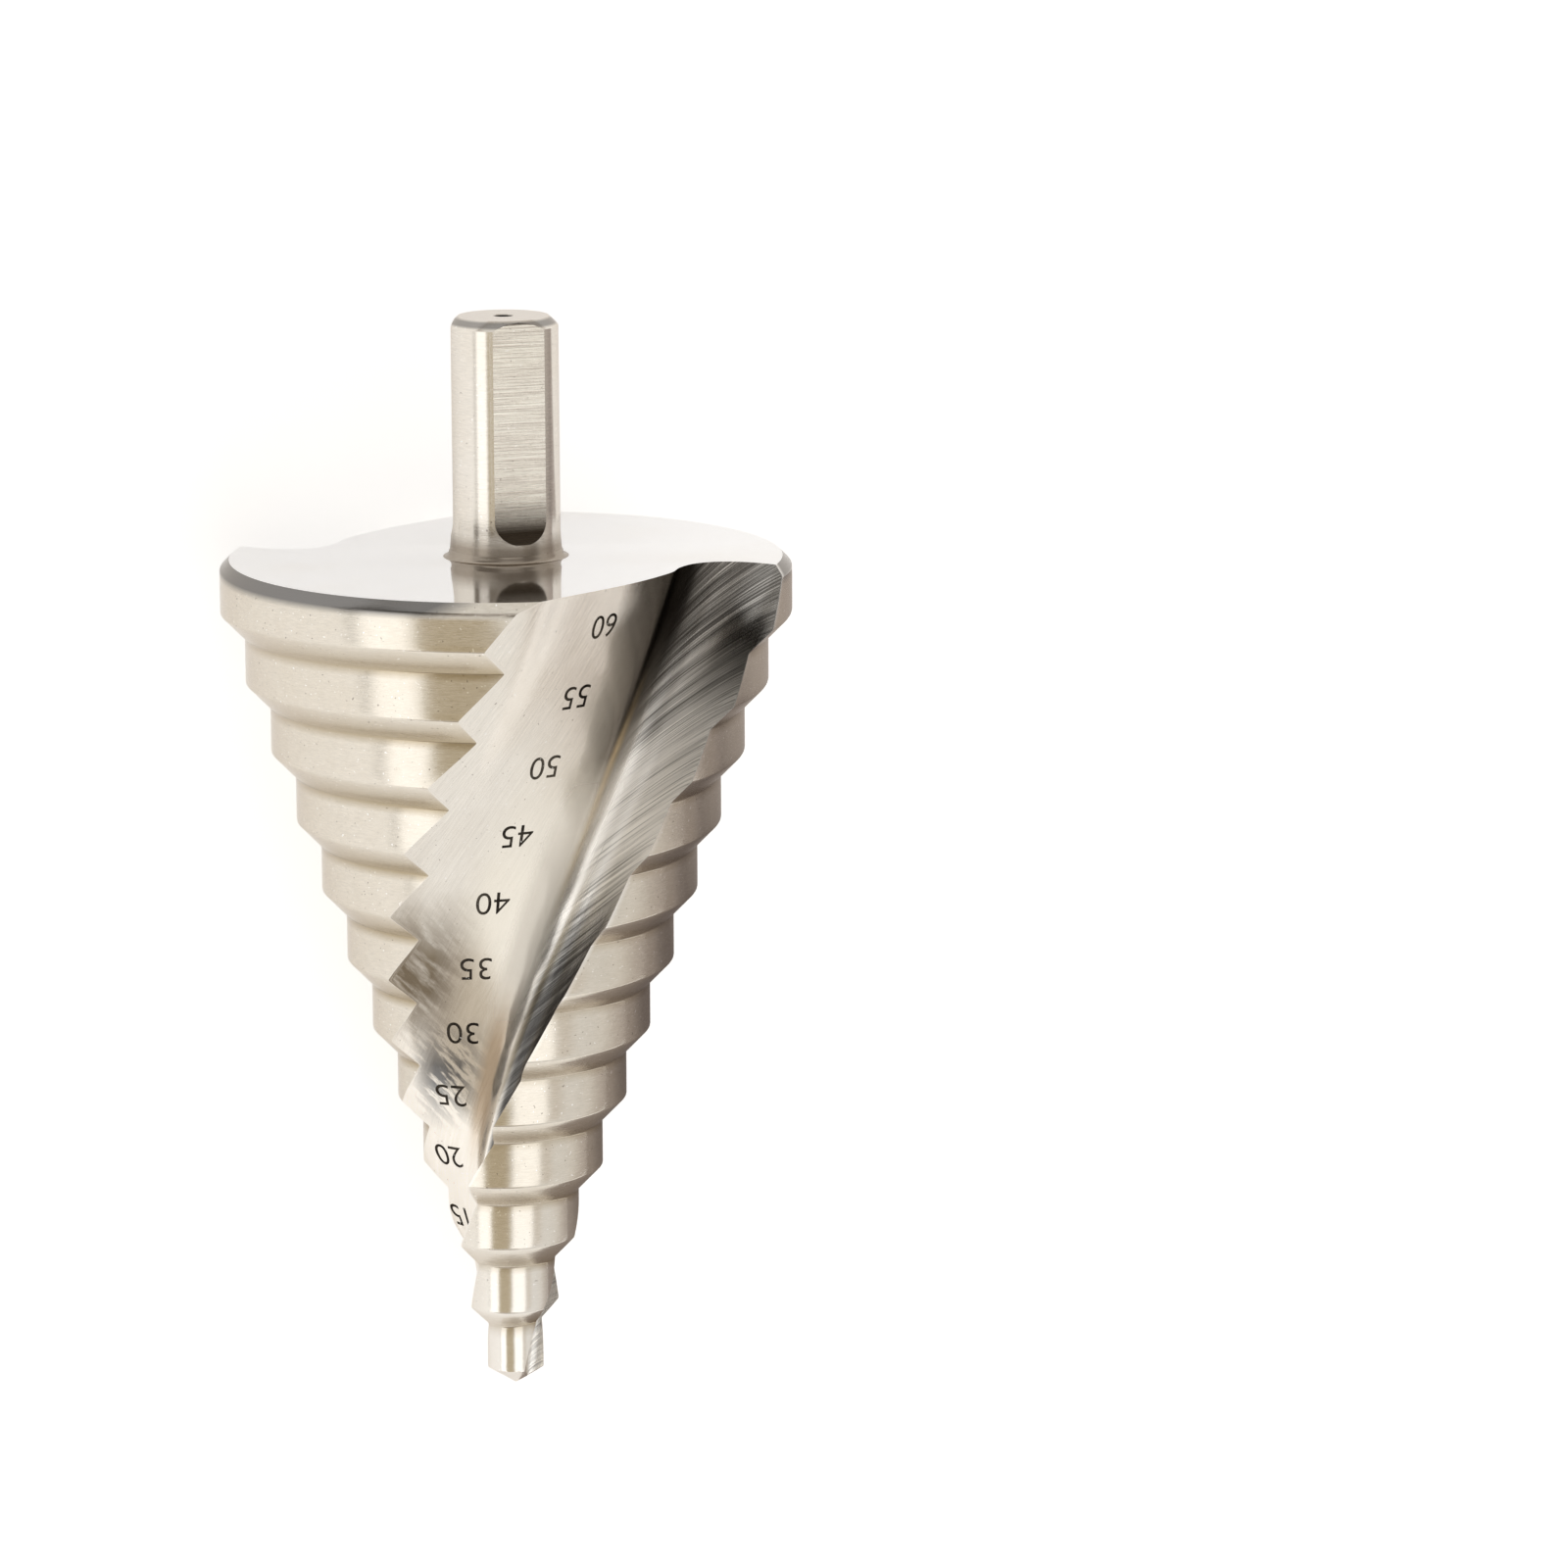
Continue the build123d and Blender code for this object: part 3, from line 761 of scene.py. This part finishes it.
def rake_face(tree, base, run, across, level):
    """Lays the rake face over a base. The tone between its painted shade and its painted light is set by the
    level, raised where it is lit and on the ridge, and moved up and down by the scores and the bands about
    their middle."""
    scores = cut_marks(tree, across, 4.5, 0.03, 3.0, 0.7)
    scratches = cut_marks(tree, across, 8.0, 0.1, 2.0, 0.6)
    bands = cut_marks(tree, across, 1.0, 0.04, 2.0, 0.5)
    rake = spread(tree, run, 0.85, 0.93, 1.0, 0.0)
    # Painted light where the face turns to the light, and a painted highlight along the ridge.
    lit = times(tree, between(tree, level, 58, 79, 4), spread(tree, run, 0.86, 0.70))
    ridge = times(tree, between(tree, run, 0.71, 0.91, 0.04), between(tree, level, 54, 72, 4))
    # The painted tone by level: light in the upper half and on the smallest steps, shade elsewhere.
    tone = spread(tree, between(tree, level, 56, 72, 8), 0.0, 1.0, 0.10, 0.72)
    tone = maths(tree, "ADD", tone, spread(tree, level, 70, 80, 0.0, 0.24))
    tone = maths(tree, "ADD", tone, spread(tree, level, 10, 20, 0.75, 0.0))
    raised = maths(tree, "MAXIMUM", lit, times(tree, ridge, 1.6))
    tone = maths(tree, "MULTIPLY_ADD", raised, 0.3, tone)
    tone = maths(tree, "MULTIPLY_ADD", maths(tree, "SUBTRACT", scores, 0.5), 2.9, tone)
    tone = maths(tree, "MULTIPLY_ADD", maths(tree, "SUBTRACT", bands, 0.5), 1.5, tone)
    colour = mixed(tree, tone, RAKE_SHADED, RAKE_LIT)
    # Painted bright glints along some scratches, then the dark scratches.
    bright = spread(tree, scratches, 0.56, 0.68, 0.0, 0.8)
    colour = mixed(tree, times(tree, bright, spread(tree, level, 50, 60, 0.25, 1.0)), colour, RAKE_LIT)
    colour = mixed(tree, spread(tree, scratches, 0.44, 0.33, 0.0, 0.8), colour, DARK_SCRATCH)
    base = mixed(tree, rake, base, colour)

    # Painted shade low down beside the valley, and at the crown near the rim.
    low = times(tree, between(tree, level, 17, 51.5, 4), between(tree, run, 0.68, 0.90, 0.03))
    low = times(tree, low, spread(tree, scores, 0.70, 0.45, 0.45, 0.88))
    base = mixed(tree, low, base, LOW_SHADE)
    crown = times(tree, spread(tree, level, 76, 85), spread(tree, run, 0.72, 0.5))
    base = tinted(tree, base, crown, 0.55, CROWN_SHADE)
    cuts = maths(tree, "MULTIPLY_ADD", scratches, 1.2, times(tree, scores, 3.5))
    low_edge = times(tree, between(tree, level, 38, 56, 4), spread(tree, run, 0.76, 0.66, 0.0, 0.4))
    torn = times(tree, rake, maths(tree, "MAXIMUM", maths(tree, "MAXIMUM", lit, low_edge), ridge))
    return base, rake, lit, cuts, torn


# %% [markdown]
# At the top of the drill the valley is painted in shade, brown and then black, and lower down it carries a
# painted pale highlight. The wide face beyond it is pale and smooth. It is cream in the middle, with a gilt
# line and a gold patch beside the valley and a faint painted shade there higher up, and it has a brown and a
# grey patch near its heel.
# Four of these are a simple patch, a range of runs and a range of levels, so a loop lays them on.

# %% Valley, wide face and stains
# Colours of the painted shade in the valley and beside it.
VALLEY_SHADE_BROWN = (0.065, 0.05, 0.038, 1)
VALLEY_SHADE_BLACK = (0.035, 0.03, 0.025, 1)
DUSK_SHADE = (0.50, 0.42, 0.34, 1)
BROWN_PATCH = (0.21, 0.165, 0.11, 1)
GREY_PATCH = (0.16, 0.165, 0.175, 1)
# Runs and levels of a patch, each with the softness of its edges, then its strength and its colour.
# A painted pale highlight in the valley, then the gilt line, the cream and the gold patch.
VALLEY_HIGHLIGHT = ((0.84, 0.92, 0.03), (50, 70, 5), 0.85, (0.93, 0.90, 0.85, 1))
GILT_LINE = ((0.925, 0.965, 0.015), (56, 76, 4), 0.6, (0.68, 0.53, 0.32, 1))
CREAM = ((1.0, 1.45, 0.08), (34, 66, 8), 0.6, (0.96, 0.91, 0.80, 1))
GOLD = ((0.98, 1.14, 0.04), (28, 46, 4), 0.55, (0.52, 0.36, 0.20, 1))


def valley_and_wide_face(tree, base, run, level):
    """Lays the colours of the valley and the wide face over a base. The valley's painted brown shade reaches
    further out as the level rises: its share is 1 less the run beyond the valley over that reach."""
    # Painted brown shade in the valley, reaching further out higher up.
    reach = spread(tree, level, 62, 88, 0.15, 0.37)
    beyond = maths(tree, "SUBTRACT", run, 0.93)
    brown = spread(tree, maths(tree, "SUBTRACT", 1.0, maths(tree, "DIVIDE", beyond, reach)), 0, 1)
    brown = maths(tree, "POWER", times(tree, brown, spread(tree, run, 0.86, 0.93)), 0.6)
    base = tinted(tree, base, times(tree, brown, spread(tree, level, 62, 71, 0.04, 1.0)), 0.92, VALLEY_SHADE_BROWN)
    # A faint painted shade beside the valley, higher up.
    dusk = times(tree, spread(tree, level, 56, 82), between(tree, run, 1.0, 1.35, 0.25))
    base = tinted(tree, base, dusk, 0.2, DUSK_SHADE)
    # Painted black shade at the top of the valley.
    deep = times(tree, between(tree, run, 0.80, 1.01, 0.04), spread(tree, level, 71, 83))
    base = tinted(tree, base, deep, 0.93, VALLEY_SHADE_BLACK)
    for runs, levels, strength, colour in (VALLEY_HIGHLIGHT, GILT_LINE, CREAM, GOLD):
        patch = times(tree, between(tree, run, *runs), between(tree, level, *levels))
        base = tinted(tree, base, patch, strength, colour)
    return base


def heel_patches(tree, base, flow, run, level):
    """A brown and a grey patch near the heel, broken up by slanting strokes of noise."""
    turned = add_node(tree, "ShaderNodeVectorRotate", {"rotation_type": "Z_AXIS"}, Vector=flow, Angle=0.95)
    drawn = add_node(tree, "ShaderNodeMapping", Vector=turned.outputs[0], Scale=(1.3, 0.16, 0.0))
    strokes = noise(tree, drawn.outputs[0], 1.0, 4.0, 0.6)
    brown = times(tree, between(tree, level, 42, 54, 4), spread(tree, run, 1.32, 1.6))
    base = tinted(tree, base, brown, spread(tree, strokes, 0.34, 0.56, 0.4, 0.95), BROWN_PATCH)
    grey = times(tree, between(tree, level, 32, 40, 3), between(tree, run, 1.2, 1.65, 0.12))
    return tinted(tree, base, grey, spread(tree, strokes, 0.44, 0.54, 0.05, 0.9), GREY_PATCH)


# %% [markdown]
# The whole flute is those two laid one over the other, and last a painted highlight, a bright lip along the far
# side of the valley. Torn metal and the lip shine in every direction, so they are made less metallic, which
# lets their pale painted colour show where a mirror would show a dark studio.

# %% Shade of the flutes
LIP_HIGHLIGHT = (0.97, 0.93, 0.85, 1)


def flute_shade(tree, base, rough, height):
    """Rake face, valley and wide face, by the run along the flute's section and the level."""
    run = attribute(tree, "run")
    flow = attribute(tree, "flow", "Vector")
    across, level, _ = parts(tree, flow)
    base, rake, lit, cuts, torn = rake_face(tree, base, run, across, level)
    base = valley_and_wide_face(tree, base, run, level)
    base = heel_patches(tree, base, flow, run, level)
    # A painted highlight: the bright lip along the far side of the valley.
    lip = times(tree, between(tree, run, 0.95, 1.16, 0.04), between(tree, level, 44, 67, 4))
    base = tinted(tree, base, lip, 0.85, LIP_HIGHLIGHT)
    rough = maths(tree, "ADD", rough, times(tree, rake, maths(tree, "MULTIPLY_ADD", lit, 0.16, 0.06)))
    height = maths(tree, "MULTIPLY_ADD", rake, cuts, height)
    scattered = maths(tree, "MULTIPLY_ADD", lip, 1.3, torn)
    return base, rough, height, maths(tree, "MULTIPLY_ADD", scattered, -0.65, 1.0)


# %% [markdown]
# The shank is turned. Its root is a little rough, and a painted brown shade darkens it; painted shade also
# darkens the round of its end and the centre hole. Painted shade darkens the foot of each flat, where the wheel
# ran out.

# %% Shades of the shank and its flats
# Colours of the painted shade on the shank and at the foot of each flat.
ROOT_SHADE_BROWN = (0.20, 0.155, 0.11, 1)
END_ROUND_SHADE = (0.16, 0.155, 0.155, 1)
HOLE_SHADE = (0.09, 0.08, 0.07, 1)
FLAT_FOOT_SHADE = (0.07, 0.055, 0.04, 1)


def root_shade(tree, base, rough, height):
    """Painted brown shade on the shank's root, which is also a little rough, and painted shade on the round of
    its end and in the centre hole.
    """
    _, level, reach = parts(tree, attribute(tree, "flow", "Vector"))
    # Painted shade at the root, on the round of the end and in the centre hole.
    root = spread(tree, level, 93.2, 91.6, 0.0, 0.72)
    base = mixed(tree, root, base, ROOT_SHADE_BROWN)
    base = tinted(tree, base, between(tree, level, 114.75, 115.4, 0.12), 0.75, END_ROUND_SHADE)
    base = mixed(tree, spread(tree, reach, 1.10, 0.98, 0.0, 0.85), base, HOLE_SHADE)
    return base, maths(tree, "MULTIPLY_ADD", root, 0.15, rough), height, 1.0


def flat_shade(tree, base, rough, height):
    """Painted shade at the foot of each flat, where the wheel ran out."""
    level = parts(tree, attribute(tree, "flow", "Vector"))[1]
    # Painted shade, deepest at the flat's foot.
    foot = maths(tree, "POWER", spread(tree, level, 97.4, 93.4), 1.3)
    return mixed(tree, foot, base, FLAT_FOOT_SHADE), rough, height, 1.0


# %% [markdown]
# Each kind of face now gets its steel, in the order in which the kinds were numbered. The flats carry the
# deepest marks, across the shank, and the rim face is almost a mirror. The numbers were burnt in, so they are
# nearly black and dull.

# %% The five steels and the burnt marks
finishes = (
    steel("land steel", (1.1, 8.0, 8.0), depth=0.005, pits=0.8, shade=land_shade),
    steel("flute steel", (6.0, 0.3, 0.3), colour=(0.87, 0.83, 0.765), roughness=0.20, mottled=0.06,
          shade=flute_shade),
    steel("shank steel", (0.9, 8.0, 0.4), colour=(0.74, 0.705, 0.65), roughness=0.14, mottled=0.04,
          shade=root_shade),
    steel("brushed flat", (0.10, 6.0, 0.3), colour=(0.92, 0.84, 0.76), roughness=0.26, depth=0.035,
          streak=0.17, mottled=0.05, shade=flat_shade),
    steel("rim face steel", (0.0, 0.0, 4.0), colour=(0.76, 0.755, 0.755), roughness=0.07, depth=0.0008,
          streak=0.02, pits=0.2, edge=(1, 1, 1, 1)))
for finish in finishes:
    skin.data.materials.append(finish)
burnt = steel("burnt mark", (4.0, 4.0, 4.0), colour=(0.022, 0.018, 0.015), roughness=0.5, streak=0.2,
              edge=(0.3, 0.29, 0.28, 1))
size_marks.data.materials.append(burnt)
print("finishes:", [finish.name for finish in (*finishes, burnt)])

# %% [markdown]
# ## The floor
# The drill lies on white paper that runs out past the picture. Paper that is only lit looks grey, so it also
# glows a little, but only for the camera and for reflections. The soft light that it throws back is that of
# plain paper, so the drill's shadow stays where the drill touches it.

# %% The floor
FLOOR_HALF = 2.0
PAPER = (0.84, 0.84, 0.84, 1)
PAPER_GLOW = 0.58


def flat_sheet(name, corners, material):
    """A flat sheet with four corners, given anticlockwise so that it faces up."""
    mesh = bpy.data.meshes.new(name)
    mesh.from_pydata(corners, [], [(0, 1, 2, 3)])
    mesh.materials.append(material)
    return new_object(name, mesh)


floor_paper = empty_material("floor paper")
tree = floor_paper.node_tree
rays = add_node(tree, "ShaderNodeLightPath").outputs
seen = maths(tree, "MAXIMUM", rays["Is Camera Ray"], rays["Is Glossy Ray"])
seen = maths(tree, "MAXIMUM", seen, rays["Is Transmission Ray"])
paper = add_node(tree, "ShaderNodeBsdfDiffuse", Color=PAPER)
glow = add_node(tree, "ShaderNodeEmission", Color=(1, 1, 1, 1), Strength=times(tree, seen, PAPER_GLOW))
both = add_node(tree, "ShaderNodeAddShader", i0=paper.outputs[0], i1=glow.outputs[0])
add_node(tree, "ShaderNodeOutputMaterial", Surface=both.outputs[0])
floor_corners = [(x * FLOOR_HALF, y * FLOOR_HALF, 0) for x, y in ((-1, -1), (1, -1), (1, 1), (-1, 1))]
floor = flat_sheet("floor", floor_corners, floor_paper)
print("floor:", 2 * FLOOR_HALF, "m square")

# %% [markdown]
# A dark card lies on the floor along the right of the drill, as a photographer would place it to draw that
# edge on polished metal. Only reflections see it: the camera and the shadows don't. It is darkest beside the
# middle of the drill, and paler towards the rim, the tip and its own far side.

# %% The dark card at the right
CARD_CORNERS = [(0.004, -0.075, 0.0002), (2.0, -0.6, 0.0002), (2.0, 0.028, 0.0002), (0.004, 0.028, 0.0002)]
CARD_DARK = (0.21, 0.18, 0.17, 1)
CARD_FAR = (0.42, 0.37, 0.35, 1)
CARD_BY_RIM = (0.54, 0.49, 0.46, 1)
CARD_BY_TIP = (0.38, 0.33, 0.30, 1)

card_paint = empty_material("card paint")
tree = card_paint.node_tree
aside, lengthwise, _ = parts(tree, add_node(tree, "ShaderNodeTexCoord").outputs["Object"])
fade = mixed(tree, spread(tree, aside, 0.05, 0.30), CARD_DARK, CARD_FAR)
fade = mixed(tree, spread(tree, lengthwise, -0.014, 0.014), fade, CARD_BY_RIM)
fade = mixed(tree, spread(tree, lengthwise, -0.025, -0.055), fade, CARD_BY_TIP)
add_node(tree, "ShaderNodeOutputMaterial", Surface=add_node(tree, "ShaderNodeEmission", Color=fade).outputs[0])
card = flat_sheet("dark card", CARD_CORNERS, card_paint)
card.visible_camera = card.visible_diffuse = card.visible_shadow = False
print("card from", CARD_CORNERS[0], "to", CARD_CORNERS[2])

# %% [markdown]
# ## Softboxes
# Three large softboxes stand around the drill and face its middle: one at its left and one in front light the
# steps along their whole length, and one above the shank brightens the rim face. A lamp's power grows with its
# size, so each is told by its radiance, which is how bright its cloth looks, and its power is worked out.

# %% Softboxes that run along the drill
SOFTBOX_DISTANCE = 0.9
middle_of_drill = place([0, 0, 58])


def softbox(name, azimuth, tilt, width, length, radiance):
    """A rectangle of light facing the drill's middle, from an azimuth around its axis and a tilt along it.
    Its power in watts is its radiance times pi times its area."""
    a, t = math.radians(azimuth), math.radians(tilt)
    way = np.array([math.cos(a) * math.cos(t), math.sin(a) * math.cos(t), math.sin(t)]) @ drill_axes
    lamp = bpy.data.lights.new(name, "AREA")
    lamp.shape = "RECTANGLE"
    lamp.size, lamp.size_y = width, length
    lamp.energy = radiance * math.pi * width * length
    box = new_object(name, lamp)
    back = Vector(way)
    side = Vector(along).cross(back).normalized()
    turned = Matrix((side, back.cross(side), back)).transposed().to_4x4()
    turned.translation = Vector(middle_of_drill + way * SOFTBOX_DISTANCE)
    box.matrix_world = turned
    box.visible_camera = False
    print(name, round(lamp.energy, 2), "W")


softbox("left softbox", -138, -12, 0.36, 1.0, 0.65)
softbox("front softbox", -72, -20, 0.52, 0.6, 0.55)
softbox("overhead softbox", -80, 40, 0.60, 0.30, 0.6)

# %% [markdown]
# ## World
# Polished metal shows what stands around it. An image of a studio would do, but it can't be tuned. So the world
# is a pale studio as the drill's surfaces see it, told by azimuth around the drill and by tilt along its axis.
# A tan gap between two bright strips gives the crisp bands that run down every step. Warm and dark regions at
# the right shade the steps towards that side, a dark one above falls on whatever leans back, and the side
# beyond the shank is dark. Each region is a range of azimuths and a range of tilts, so a loop lays them on.

# %% The studio around the drill
EVERYTHING = 999
STUDIO = (0.93, 0.91, 0.88, 1)
# Azimuths and tilts of a region in degrees, each with the softness of its edges, then its colour.
TAN_GAP = ((-126, -93, 3), (-33, -6.2, 1), (0.58, 0.495, 0.35, 1))
LOW_GAP = ((-145, -76, 6), (-62, -37, 4), (0.52, 0.46, 0.39, 1))
WARM_STRIP = ((-52, -40, 5), (-24, EVERYTHING, 4), (0.80, 0.74, 0.67, 1))
RIGHT_SIDE = ((-9, EVERYTHING, 15), (-44, EVERYTHING, 4), (0.82, 0.77, 0.71, 1))
FAR_RIGHT = ((8, EVERYTHING, 16), (-44, 20, 6), (0.48, 0.42, 0.39, 1))
ABOVE = ((-168, -20, 8), (3, 16, 2), (0.20, 0.17, 0.14, 1))
LOW_RIGHT = ((3, EVERYTHING, 11), (-10.8, -9.0, 0.4), (0.16, 0.14, 0.13, 1))
BEHIND_SHANK = (0.30, 0.27, 0.24, 1)

world = bpy.data.worlds.new("studio")
bpy.context.scene.world = world
world.use_nodes = True
tree = world.node_tree
way = add_node(tree, "ShaderNodeTexCoord").outputs["Generated"]
across_way, beside_way, along_way = (
    add_node(tree, "ShaderNodeVectorMath", {"operation": "DOT_PRODUCT"}, i0=way, i1=axis).outputs["Value"]
    for axis in drill_axes.tolist())
azimuth = maths(tree, "DEGREES", maths(tree, "ARCTAN2", beside_way, across_way))
tilt = maths(tree, "DEGREES", maths(tree, "ARCSINE", along_way))
studio = STUDIO
for azimuths, tilts, colour in (TAN_GAP, LOW_GAP, WARM_STRIP, RIGHT_SIDE, FAR_RIGHT, ABOVE, LOW_RIGHT):
    region = times(tree, between(tree, azimuth, *azimuths), between(tree, tilt, *tilts))
    studio = mixed(tree, region, studio, colour)

# Behind the shank, the dark side begins at a slanting line, where the tilt is -15 less 0.32 of the azimuth.
over_line = maths(tree, "ADD", maths(tree, "MULTIPLY_ADD", azimuth, 0.32, tilt), 15.0)
behind = times(tree, spread(tree, over_line, -5, 5), spread(tree, azimuth, -28, -14, 1.0, 0.0))
behind = times(tree, behind, spread(tree, tilt, 56, 64, 1.0, 0.0))
studio = mixed(tree, behind, studio, BEHIND_SHANK)
background = tree.nodes["Background"]
tree.links.new(studio, background.inputs["Color"])
background.inputs["Strength"].default_value = 1.0
print("nodes in the studio:", len(tree.nodes))

# %% [markdown]
# ## Camera
# The camera keeps the place it had in front of the upright drill in the photograph, on the drill's own axes.
# Carried to where the drill lies, it looks down on it.

# %% The photograph's camera, carried to the lying drill
CAMERA_PLACE = (0.0, -663.48, 202.77)
CAMERA_TURN, CAMERA_DOWN, CAMERA_ROLL = math.radians(2.51), math.radians(11.69), math.radians(-0.18)
FOCAL_LENGTH_PIXELS = 6541.13
PHOTO_SIZE = 1600
SENSOR_WIDTH = 36.0

forward = np.array([math.sin(CAMERA_TURN) * math.cos(CAMERA_DOWN),
                    math.cos(CAMERA_TURN) * math.cos(CAMERA_DOWN), -math.sin(CAMERA_DOWN)])
right = np.array([math.cos(CAMERA_TURN), -math.sin(CAMERA_TURN), 0.0])
up = np.cross(right, forward)
rolled_right = math.cos(CAMERA_ROLL) * right + math.sin(CAMERA_ROLL) * up
rolled_up = math.cos(CAMERA_ROLL) * up - math.sin(CAMERA_ROLL) * right
camera_data = bpy.data.cameras.new("camera")
camera_data.lens = FOCAL_LENGTH_PIXELS * SENSOR_WIDTH / PHOTO_SIZE
camera_data.sensor_width = SENSOR_WIDTH
camera_data.clip_start, camera_data.clip_end = 0.01, 20.0
camera = new_object("camera", camera_data)
camera_axes = [Vector(axis @ drill_axes) for axis in (rolled_right, rolled_up, -forward)]
looks = Matrix(camera_axes).transposed().to_4x4()
looks.translation = Vector(place(CAMERA_PLACE))
camera.matrix_world = looks
bpy.context.scene.camera = camera
bpy.context.scene.view_settings.view_transform = "Standard"
print("camera looks down at", round(math.degrees(math.asin(looks.col[2][2])), 1), "degrees")

# %% [markdown]
# ## On the drill
# Both new pieces ride on the drill's one body, and the skin stands for the imported solid, which is hidden.

# %% Ride on the drill, and hide the imported solid
for piece in (skin, size_marks):
    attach(piece, "root")
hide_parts("step_drill")
